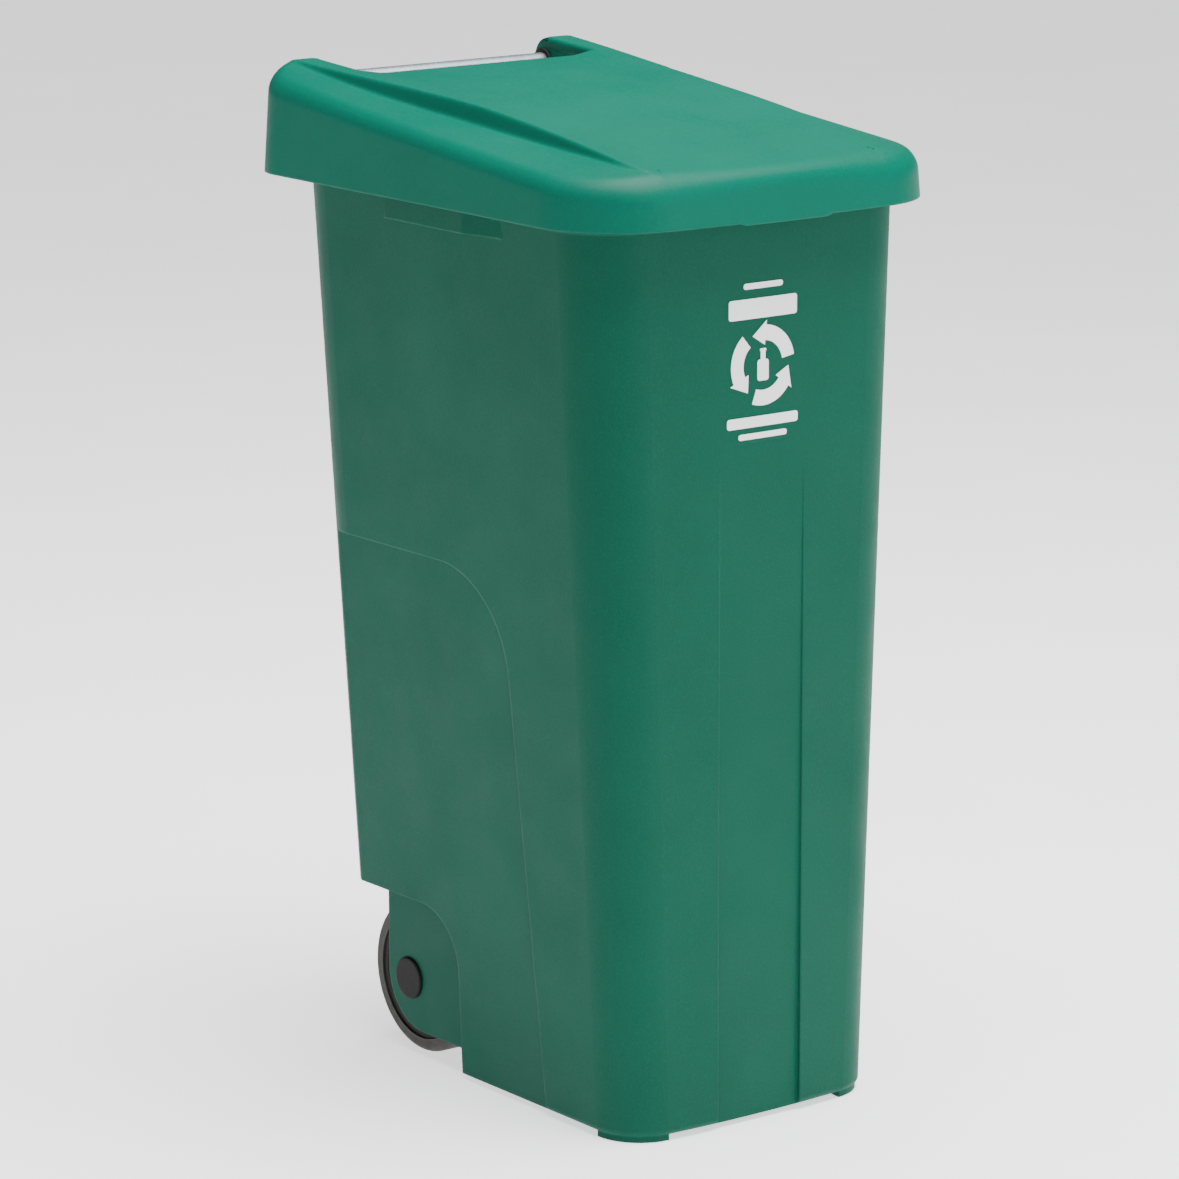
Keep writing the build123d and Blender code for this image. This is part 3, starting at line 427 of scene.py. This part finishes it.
def top_height(x, y):
    """Height of the lid's top, before its outer edge is rounded."""
    side = np.abs(x)
    panel = panel_line(y)
    horn = np.maximum(np.where(y > HORN_START, horn_line(y), panel), panel)
    crest = crest_side(y)
    crown = panel + (horn - panel) * ease((side - HORN_FOOT) / HORN_RISE)
    crown_there = panel + (horn - panel) * ease((crest - HORN_FOOT) / HORN_RISE)
    length = np.clip((y + SKIRT_END - WALL_START) / (2 * SKIRT_END - WALL_START - WALL_STOP), 0, 1)
    wall_height = SIDE_WALL * np.sin(np.pi * length)
    foot = crown_there - wall_height
    edge = STRIP_MIDDLE + STRIP_SLOPE * y
    share = (side - crest) / (STRIP_EDGE - crest)
    bulge = STRIP_BULGE * np.clip(share, 0, 1) * (1 - np.clip(share, 0, 1))
    outside = foot + (edge - foot) * share + bulge
    strip = np.where(side > crest, outside, foot - STRIP_RUN * (crest - side))
    wall = crown_there + (crest - side) / WALL_RUN
    ridge = -soft_max(-crown, -wall, CREST_SOFT)
    return np.minimum(soft_max(ridge, strip, FOOT_SOFT), HORN_TOP - HORN_DROP / 2)


print("top at the middle of the front, the centre and the horn:",
      [round(float(top_height(np.array(x), np.array(y))), 1) for x, y in ((0, -250), (0, 0), (140, 240))])

# %% [markdown]
# The sheet starts from stations that walk round the right half of the skirt: along the bowed front,
# round the front corner, down the side, round the rear corner and in along the rear.  Each holds its
# place, the direction outward, how round the edge is there, and how far the skirt flares.

# %% Lid: stations round the skirt
FRONT_ROUND, CORNER_ROUND, SIDE_ROUND = 15.0, 23.0, 13.0  # rounding of the top's outer edge
FLARE, REAR_FLARE = 0.08, 0.03  # outward spread of the skirt for each millimetre down
ACROSS_MIDDLE, ACROSS_CREST, ACROSS_STRIP = 22, 44, 46
ACROSS_PANEL = ACROSS_MIDDLE + ACROSS_CREST
COLUMNS = ACROSS_PANEL + ACROSS_STRIP
FINE_FROM = 0.68  # share of the panel's half width where the fine columns start
RECESS_ROUND = 2.5  # rounding of the recess's front edge
CORNER_ROWS, SIDE_ROWS, HORN_ROWS, REAR_ROWS = 34, 134, 15, 20


def columns_at(width, inner):
    """Column places from the middle out to a width; the panel's columns end at inner."""
    fine_from = FINE_FROM * inner
    middle = np.linspace(0, fine_from, ACROSS_MIDDLE + 1)
    panel = np.concatenate([middle, np.linspace(fine_from, inner, ACROSS_CREST + 1)[1:]])
    return np.concatenate([panel, np.linspace(inner, width, ACROSS_STRIP + 1)[1:]])


def skirt_stations():
    """Places, outward directions, edge roundings and flares round the right half of the skirt."""
    lean = 2 * SKIRT_BOW * (SKIRT_HALF - FRONT_CORNER) / SKIRT_HALF ** 2
    turn = math.atan(lean)
    centre_x = SKIRT_HALF - FRONT_CORNER
    reach = centre_x + FRONT_CORNER * math.sin(turn)
    centre_y = -SKIRT_END + SKIRT_BOW * (reach / SKIRT_HALF) ** 2 + FRONT_CORNER * math.cos(turn)
    rows = []
    for x in columns_at(reach, RECESS_HALF * reach / (SKIRT_HALF - TOP_INSET)):
        slope = math.atan(2 * SKIRT_BOW * x / SKIRT_HALF ** 2)
        place = (x, -SKIRT_END + SKIRT_BOW * (x / SKIRT_HALF) ** 2)
        rounded = FRONT_ROUND + (CORNER_ROUND - FRONT_ROUND) * (x / reach) ** 2
        rows.append((*place, math.sin(slope), -math.cos(slope), rounded, FLARE))
    for index in range(1, CORNER_ROWS + 1):
        share = index / CORNER_ROWS
        angle = (math.pi / 2 - turn) * (share - 1)
        out = (math.cos(angle), math.sin(angle))
        place = (centre_x + FRONT_CORNER * out[0], centre_y + FRONT_CORNER * out[1])
        rounded = CORNER_ROUND - (CORNER_ROUND - SIDE_ROUND) * float(ease(share))
        rows.append((*place, *out, rounded, FLARE))
    side = list(np.linspace(centre_y, RECESS_START - RECESS_ROUND, SIDE_ROWS + 1)[1:])
    side += list(np.linspace(RECESS_START, SKIRT_END - REAR_CORNER, HORN_ROWS))
    for y in side:
        rows.append((SKIRT_HALF, y, 1, 0, SIDE_ROUND, FLARE))
    for index in range(1, REAR_ROWS + 1):
        share = index / REAR_ROWS
        angle = share * math.pi / 2
        out = (math.cos(angle), math.sin(angle))
        x = SKIRT_HALF - REAR_CORNER + REAR_CORNER * out[0]
        y = SKIRT_END - REAR_CORNER + REAR_CORNER * out[1]
        rounded = SIDE_ROUND + (HORN_ROUND - SIDE_ROUND) * float(ease(share))
        rows.append((x, y, *out, rounded, FLARE - (FLARE - REAR_FLARE) * share))
    for x in columns_at(SKIRT_HALF - REAR_CORNER, RECESS_HALF)[COLUMNS - 1:ACROSS_PANEL - 1:-1]:
        rows.append((x, SKIRT_END, 0, 1, HORN_ROUND, REAR_FLARE))
    return np.array(rows)


stations = skirt_stations()
skirt_place, skirt_out = stations[:, :2], stations[:, 2:4]
rounding, flare = stations[:, 4], stations[:, 5]
print("stations round half the skirt:", len(stations))

# %% [markdown]
# Rings of points rise from the skirt's foot and turn over the rounded edge.  Inside the last ring lies
# a grid: its rows follow the curve of the front edge at first and straighten out behind, and its columns
# are finest beside the panel's side wall.  Near the front tips of that wall, some of the smallest faces
# still fold over each other.

# %% Lid: the sheet
SKIRT_STEPS, ROUND_STEPS = 9, 9
EDGE_PROBE = 6.0  # the edge takes its height from this far inside the skirt
OPENING_SIDE = 176.5  # middle to the outer side of the horn's rear opening


def edge_ring(angle):
    """Ring of points on the rounded outer edge, at an angle from the skirt's top."""
    near = skirt_place - skirt_out * EDGE_PROBE
    crest_height = top_height(near[:, 0], near[:, 1])
    inset = flare * (crest_height - rounding - SKIRT_LOW) + rounding * (1 - math.cos(angle))
    ring = skirt_place - skirt_out * inset[:, None]
    height = top_height(ring[:, 0], ring[:, 1]) - rounding * (1 - math.sin(angle))
    return np.column_stack([ring, height])


def skirt_rings():
    """Rings from the skirt's lower edge to the inner end of the rounded edge."""
    start = edge_ring(0)
    rings = []
    for step in range(SKIRT_STEPS):
        share = step / SKIRT_STEPS
        height = SKIRT_LOW + (start[:, 2] - SKIRT_LOW) * share
        ring = skirt_place - skirt_out * (flare * (height - SKIRT_LOW))[:, None]
        rings.append(np.column_stack([ring, height]))
    for step in range(ROUND_STEPS + 1):
        rings.append(edge_ring(math.pi / 2 * step / ROUND_STEPS))
    return np.array(rings)


rings = skirt_rings()
ROWS = CORNER_ROWS + SIDE_ROWS + HORN_ROWS + REAR_ROWS
NOTCH_ROW = CORNER_ROWS + SIDE_ROWS
front_edge = rings[-1][:COLUMNS + 1]
side_edge = rings[-1][COLUMNS:COLUMNS + ROWS + 1]


def recess_rounding(x, y):
    """How far the rounded edge beside the recess lies below the horn's top."""
    gap = np.clip(x - RECESS_HALF, 0, WALL)
    dip = WALL - np.sqrt(WALL ** 2 - (WALL - gap) ** 2)
    beside = (y > RECESS_START - 1) & (x > RECESS_HALF - 0.01)
    return np.where(beside, dip, 0)


def top_grid():
    """Points of the top, row by row from front to rear, from the middle to the right."""
    grid = np.zeros((ROWS + 1, COLUMNS + 1, 3))
    edge = np.concatenate([front_edge, side_edge[1:CORNER_ROWS + 1]])
    for row in range(ROWS + 1):
        width, y = side_edge[row][:2]
        inner = RECESS_HALF if y > 0 else RECESS_HALF * min(1, width / side_edge[NOTCH_ROW][0])
        fade = max(0, 1 - row / (CORNER_ROWS * 2)) ** 4
        follow = max(0, 1 - row / CORNER_ROWS)
        across = columns_at(width, inner)
        grid[row, :, 0] = across + (front_edge[:, 0] * width / front_edge[-1, 0] - across) * follow
        start = np.interp(grid[row, :, 0], edge[:, 0], edge[:, 1])
        grid[row, :, 1] = y + (start - start[-1]) * fade
    grid[0] = front_edge
    grid[:, :, 2] = top_height(grid[:, :, 0], grid[:, :, 1])
    grid[:, :, 2] -= recess_rounding(grid[:, :, 0], grid[:, :, 1])
    return grid


grid = top_grid()


class Sheet:
    """Points and faces, with shared points found by their place."""

    def __init__(self):
        self.points = []
        self.faces = []
        self.index = {}

    def point(self, place):
        key = tuple(round(float(value), 3) for value in place)
        if key not in self.index:
            self.index[key] = len(self.points)
            self.points.append([value * MM for value in key])
        return self.index[key]

    def patch(self, rows, keep=None):
        """Quads between rows of points; keep says which (row, column) cells to make."""
        ids = [[self.point(place) for place in row] for row in rows]
        for r in range(len(ids) - 1):
            for c in range(len(ids[r]) - 1):
                if keep is not None and not keep(r, c):
                    continue
                corners = [ids[r][c], ids[r][c + 1], ids[r + 1][c + 1], ids[r + 1][c]]
                corners = list(dict.fromkeys(corners))
                if len(corners) > 2:
                    self.faces.append(corners)


def in_horn_opening(ring, station):
    """True where the horn is open at the rear for the tub's ear."""
    x, y = skirt_place[station]
    return y > HINGE_AT[0] and x < OPENING_SIDE and ring < SKIRT_STEPS + 1


sheet = Sheet()
sheet.patch(rings, lambda ring, station: not in_horn_opening(ring, station))
sheet.patch(grid, lambda row, column: row < NOTCH_ROW or column >= ACROSS_PANEL)
print("points on the right half of the lid:", len(sheet.points))

# %% [markdown]
# Three strips finish the outside: the recess's front wall with its floor, the upper inner edge of each
# horn, and the shallow lip under the front edge, where fingers lift the lid.

# %% Lid: recess, horn edge and grip lip
GRIP_HALF = 50.0
GRIP_SHOWN = 1.9  # depth of the lip below the skirt
GRIP_RUNOUT = 7.0  # over which it fades out at its ends
HORN_EDGE_DROPS = (0, 2, 6)  # rows below the horn's rounded edge


def recess_rows():
    """Rows down the recess's front wall and back along its floor."""
    start = grid[NOTCH_ROW, :ACROSS_PANEL + 1]
    rows = [start]
    for back, drop in ((1.2, 0.3), (2.1, 1.0), (2.5, 2.4)):
        rows.append(start + np.array([0, back, -drop]))
    upright = rows[-1]
    for share in (0.35, 0.7, 1):
        row = upright.copy()
        row[:, 2] += (RECESS_FLOOR + 3 - upright[:, 2]) * share
        rows.append(row)
    for back, height in ((0.9, 0.9), (3, 0), (20, 0), (38, 0), (FLOOR_END - RECESS_START, 0)):
        row = upright.copy()
        row[:, 1] = RECESS_START + back
        row[:, 2] = RECESS_FLOOR + height
        rows.append(row)
    return rows


def horn_edge_rows():
    """Rows down the inner side of the horn, below its rounded edge."""
    start = grid[NOTCH_ROW + 1:, ACROSS_PANEL]
    return [start - np.array([0, 0, drop]) for drop in HORN_EDGE_DROPS]


def grip_rows():
    """Lip under the middle of the front edge."""
    low_ring = rings[0][:COLUMNS + 1]
    grip = low_ring[low_ring[:, 0] < GRIP_HALF]
    lower = grip.copy()
    lower[:, 2] -= GRIP_SHOWN * np.clip((GRIP_HALF - grip[:, 0]) / GRIP_RUNOUT, 0.1, 1)
    return [lower, grip]


sheet.patch(recess_rows())
sheet.patch(horn_edge_rows())
sheet.patch(grip_rows())


# %% [markdown]
# So far only the right half exists, as a sheet without thickness.  It is mirrored, its seam is joined,
# and a Solidify modifier gives it its wall.  The modifier is applied, so that the mesh holds the
# finished shape.

# %% Lid: both halves and the wall
def new_piece(name, points, faces, body, material):
    """Mesh piece that rides on a body."""
    mesh = bpy.data.meshes.new(name)
    mesh.from_pydata([tuple(point) for point in points], [], faces)
    piece = bpy.data.objects.new(name, mesh)
    bpy.context.scene.collection.objects.link(piece)
    mesh.materials.append(material)
    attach(piece, body)
    return piece


def apply_modifiers(piece):
    """Replace a piece's mesh with what its modifiers make of it."""
    graph = bpy.context.evaluated_depsgraph_get()
    made = bpy.data.meshes.new_from_object(piece.evaluated_get(graph))
    piece.modifiers.clear()
    piece.data = made


def smooth_below(piece, degrees):
    """Smooth shading, with edges sharper than an angle kept crisp."""
    mesh = piece.data
    mesh.polygons.foreach_set("use_smooth", [True] * len(mesh.polygons))
    mesh.set_sharp_from_angle(angle=math.radians(degrees))


def mirrored(points, faces):
    """Points and faces with their mirror image in X added and the seam joined."""
    mesh = bmesh.new()
    made = [mesh.verts.new(point) for point in points]
    for face in faces:
        mesh.faces.new([made[index] for index in face])
    copy = bmesh.ops.duplicate(mesh, geom=list(mesh.verts) + list(mesh.faces))["geom"]
    for item in copy:
        if isinstance(item, bmesh.types.BMVert):
            item.co.x = -item.co.x
    bmesh.ops.remove_doubles(mesh, verts=mesh.verts, dist=1e-5)
    bmesh.ops.recalc_face_normals(mesh, faces=mesh.faces)
    mesh.verts.index_update()
    return [tuple(v.co) for v in mesh.verts], [[v.index for v in f.verts] for f in mesh.faces]


points, faces = mirrored(sheet.points, sheet.faces)
lid_shell = new_piece("lid_shell", points, faces, "lid", finishes["lid_plastic"])
upward = max(lid_shell.data.polygons, key=lambda face: face.center.z).normal.z > 0
solid = lid_shell.modifiers.new("wall", "SOLIDIFY")
solid.thickness = WALL * MM
solid.offset = -1 if upward else 1
solid.use_rim = True
apply_modifiers(lid_shell)
smooth_below(lid_shell, 40)
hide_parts("lid")
print("lid shell faces:", len(lid_shell.data.polygons), "normals up:", upward)

# %% [markdown]
# Under the horns, two flat arms beside the recess end in round eyes that hold the hinge bushes.  Each
# arm is one outline with a hole, filled with triangles and pulled to its thickness.

# %% Lid: arms and eyes
EYE_RADIUS, EYE_BORE, EYE_END = 14.0, 11.6, 5.7  # outside, bore, and recess wall to the eye's end
HOLE_POINTS = 64
ARM_PLACES = (225, 205, 190)  # where the arm's upper edge follows the horn
ARM_BELOW = 4.5  # horn's top to the arm's upper edge
ARM_INSIDE = 3.2  # horn's rounded rear to the arm's own rounding


def plate(outline, hole, x_from, x_to):
    """Flat plate from a closed (y, z) outline and a round hole (y, z, radius), as points and faces."""
    mesh = bmesh.new()
    y, z, radius = hole
    angles = np.linspace(0, 2 * math.pi, HOLE_POINTS + 1)[:-1]
    circle = [(y + radius * math.cos(a), z + radius * math.sin(a)) for a in angles]
    edges = []
    for loop in (outline, circle):
        made = [mesh.verts.new((x_from, y, z)) for y, z in loop]
        edges += [mesh.edges.new((made[i - 1], made[i])) for i in range(len(made))]
    bmesh.ops.triangle_fill(mesh, edges=edges, use_beauty=True)
    pulled = bmesh.ops.extrude_face_region(mesh, geom=list(mesh.faces))["geom"]
    for item in pulled:
        if isinstance(item, bmesh.types.BMVert):
            item.co.x = x_to
    bmesh.ops.recalc_face_normals(mesh, faces=mesh.faces)
    mesh.verts.index_update()
    points = [tuple(value * MM for value in v.co) for v in mesh.verts]
    return points, [[v.index for v in f.verts] for f in mesh.faces]


def arc_points(centre, radius, start, end, count):
    """Points on an arc in (y, z), angles in degrees."""
    angles = np.radians(np.linspace(start, end, count))
    return [(centre[0] + radius * math.cos(a), centre[1] + radius * math.sin(a)) for a in angles]


def arm_outline():
    """Side view of an arm: along the recess, then round the hinge and up inside the horn."""
    low = RECESS_FLOOR - WALL
    outline = [(RECESS_START - WALL, low), (FLOOR_END, low)]
    outline += arc_points(HINGE_AT, EYE_RADIUS, -40, 0, 8)
    end = (SKIRT_END - HORN_ROUND, HORN_TOP - HORN_DROP - HORN_ROUND)
    outline += arc_points(end, HORN_ROUND - ARM_INSIDE, 0, 80, 10)
    for y in (*ARM_PLACES, RECESS_START - WALL):
        outline.append((y, float(horn_line(np.array(float(y)))) - ARM_BELOW))
    return outline


def both_sides_of(points, faces):
    """Points and faces with a mirrored copy."""
    count = len(points)
    copies = [(-x, y, z) for x, y, z in points]
    return points + copies, faces + [[count + index for index in reversed(face)] for face in faces]


bore = (*HINGE_AT, EYE_BORE)
eye_outline = arc_points(HINGE_AT, EYE_RADIUS, 0, 354.375, 64)
arms = plate(arm_outline(), bore, RECESS_HALF + 0.05, RECESS_HALF + WALL)
eyes = plate(eye_outline, bore, RECESS_HALF + WALL, RECESS_HALF + EYE_END)
for name, (points, faces) in (("lid_arms", arms), ("lid_eyes", eyes)):
    points, faces = both_sides_of(points, faces)
    piece = new_piece(name, points, faces, "lid", finishes["lid_plastic"])
    smooth_below(piece, 30)
    print(name, "faces:", len(faces))


# %% [markdown]
# Inside the lid, two long ribs and two cross ribs stiffen the panel.  Each is an upright strip that
# follows the top's own height, so that its upper edge lies inside the lid's wall.

# %% Lid: ribs
RIB_THICKNESS = 2.4
RIB_DEPTH = 14.0  # how far a rib hangs below the lid's wall
RIB_SIDE = 62.9  # middle of the lid to a long rib
RIB_FRONT = -214.0
CROSS_PLACES = (-102.8, 30.8)
CROSS_HALF = 167.0


def rib_strip(path, thickness, low_of, high_of, name):
    """Upright rib along a plan path, between two height functions."""
    half = thickness / 2
    path = np.array(path, float)
    along_path = np.gradient(path, axis=0)
    along_path /= np.linalg.norm(along_path, axis=1)[:, None]
    normal = np.column_stack([-along_path[:, 1], along_path[:, 0]])
    rows = []
    walk = ((half, low_of), (half, high_of), (-half, high_of), (-half, low_of), (half, low_of))
    for side, height_of in walk:
        line = path + normal * side
        rows.append(np.column_stack([line, height_of(path[:, 0], path[:, 1])]))
    strip = Sheet()
    strip.patch(rows)
    ends = [[strip.point(row[index]) for row in rows[:4]] for index in (0, -1)]
    strip.faces += [ends[0], list(reversed(ends[1]))]
    mesh = bmesh.new()
    made = [mesh.verts.new(point) for point in strip.points]
    for face in strip.faces:
        mesh.faces.new([made[index] for index in face])
    bmesh.ops.recalc_face_normals(mesh, faces=mesh.faces)
    mesh.verts.index_update()
    faces = [[v.index for v in f.verts] for f in mesh.faces]
    piece = new_piece(name, strip.points, faces, "lid", finishes["lid_plastic"])
    smooth_below(piece, 35)
    return piece


def under_top(x, y):
    """Height inside the lid's wall."""
    return top_height(x, y) - WALL + 1


def rib_foot(x, y):
    """Height of a rib's lower edge."""
    return top_height(x, y) - WALL - RIB_DEPTH


for side, word in ((-1, "left"), (1, "right")):
    run = [(side * RIB_SIDE, y) for y in np.linspace(RIB_FRONT, RECESS_START - 1.5, 80)]
    rib_strip(run, RIB_THICKNESS, rib_foot, under_top, "lid_rib_long_" + word)
for number, y in enumerate(CROSS_PLACES, 1):
    run = [(x, y) for x in np.linspace(-CROSS_HALF, CROSS_HALF, 120)]
    rib_strip(run, RIB_THICKNESS, rib_foot, under_top, f"lid_rib_cross_{number}")

# %% [markdown]
# ## Floor
# A plain pale floor, far wider than the bin, so that no edge shows from above.  It glows a little, as a
# lit studio floor does, and so throws light up on the bin's lower half.

# %% Floor
FLOOR_GLOW = 1.3
FLOOR_HALF = 40.0  # metres


def make_floor(half):
    """Flat square floor with a slight mottle."""
    mesh = bpy.data.meshes.new("floor")
    corners = [(-half, -half, 0), (half, -half, 0), (half, half, 0), (-half, half, 0)]
    mesh.from_pydata(corners, [], [(0, 1, 2, 3)])
    floor = bpy.data.objects.new("floor", mesh)
    bpy.context.scene.collection.objects.link(floor)
    material, tree, shader = blank_material("floor_paint")
    mottle = noise(tree, coordinates(tree), 3, 3)
    tint = mixed(tree, spread(tree, mottle, 0.3, 0.7, 0, 1), (0.93, 0.93, 0.93), (0.9, 0.9, 0.9))
    tree.links.new(tint, shader.inputs["Base Color"])
    shader.inputs["Roughness"].default_value = 0.8
    tree.links.new(tint, shader.inputs["Emission Color"])
    shader.inputs["Emission Strength"].default_value = FLOOR_GLOW
    mesh.materials.append(material)
    return floor


floor = make_floor(FLOOR_HALF)
print("floor is", round(floor.dimensions.x), "metres wide")
